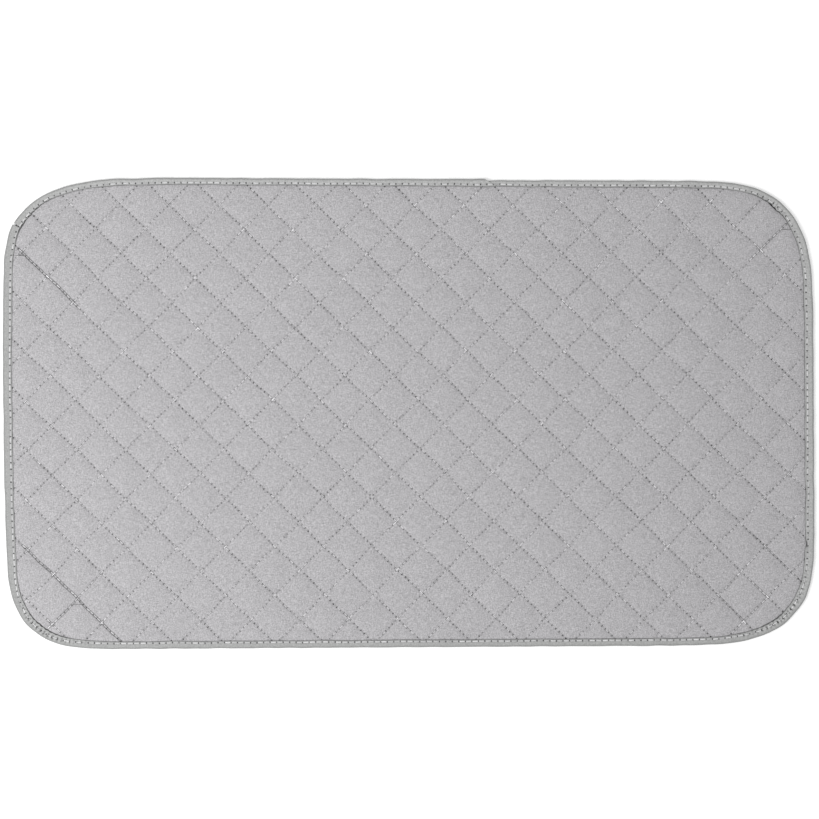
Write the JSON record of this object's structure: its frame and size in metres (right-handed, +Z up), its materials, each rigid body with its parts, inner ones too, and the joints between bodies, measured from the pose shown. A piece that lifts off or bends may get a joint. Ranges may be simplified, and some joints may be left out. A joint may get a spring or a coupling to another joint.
{
  "type": "quilted ironing pad",
  "caption": "Flat ironing pad of quilted cotton over wadding and felt, bound round its edge with folded tape, with a disc magnet in each corner.",
  "frame": {"origin": "on the surface the pad lies on, under the middle of its box", "axes": "+X along the pad's length, +Y across its width towards the spliced long side, +Z up out of the quilted face"},
  "size_m": [0.8364, 0.4858, 0.0063],
  "materials": {
    "face_cloth": "matt grey cotton, plain weave",
    "back_cloth": "matt grey cotton, plain weave",
    "wadding": "white polyester fibre",
    "felt": "pressed needle felt",
    "tape": "matt grey folded cotton tape",
    "thread": "grey spun sewing thread",
    "magnet": "nickel plated"
  },
  "bodies": {
    "root": {"face_cover": "face_cloth", "wadding": "wadding", "insulating_felt": "felt", "back_cover": "back_cloth", "edge_tape_main": "tape", "edge_tape_short": "tape", "edge_seam_needle_thread": "thread", "edge_seam_bobbin_thread": "thread", "magnet_lower_left": "magnet", "magnet_lower_right": "magnet", "magnet_upper_right": "magnet", "magnet_upper_left": "magnet", "quilting_thread_rising_01": "thread", "quilting_thread_rising_02": "thread", "quilting_thread_rising_03": "thread", "quilting_thread_rising_04": "thread", "quilting_thread_rising_05": "thread", "quilting_thread_rising_06": "thread", "quilting_thread_rising_07": "thread", "quilting_thread_rising_08": "thread", "quilting_thread_rising_09": "thread", "quilting_thread_rising_10": "thread", "quilting_thread_rising_11": "thread", "quilting_thread_rising_12": "thread", "quilting_thread_rising_13": "thread", "quilting_thread_rising_14": "thread", "quilting_thread_rising_15": "thread", "quilting_thread_rising_16": "thread", "quilting_thread_rising_17": "thread", "quilting_thread_rising_18": "thread", "quilting_thread_rising_19": "thread", "quilting_thread_rising_20": "thread", "quilting_thread_rising_21": "thread", "quilting_thread_rising_22": "thread", "quilting_thread_rising_23": "thread", "quilting_thread_falling_01": "thread", "quilting_thread_falling_02": "thread", "quilting_thread_falling_03": "thread", "quilting_thread_falling_04": "thread", "quilting_thread_falling_05": "thread", "quilting_thread_falling_06": "thread", "quilting_thread_falling_07": "thread", "quilting_thread_falling_08": "thread", "quilting_thread_falling_09": "thread", "quilting_thread_falling_10": "thread", "quilting_thread_falling_11": "thread", "quilting_thread_falling_12": "thread", "quilting_thread_falling_13": "thread", "quilting_thread_falling_14": "thread", "quilting_thread_falling_15": "thread", "quilting_thread_falling_16": "thread", "quilting_thread_falling_17": "thread", "quilting_thread_falling_18": "thread", "quilting_thread_falling_19": "thread", "quilting_thread_falling_20": "thread", "quilting_thread_falling_21": "thread", "quilting_thread_falling_22": "thread", "quilting_thread_falling_23": "thread"}
  },
  "joints": []
}
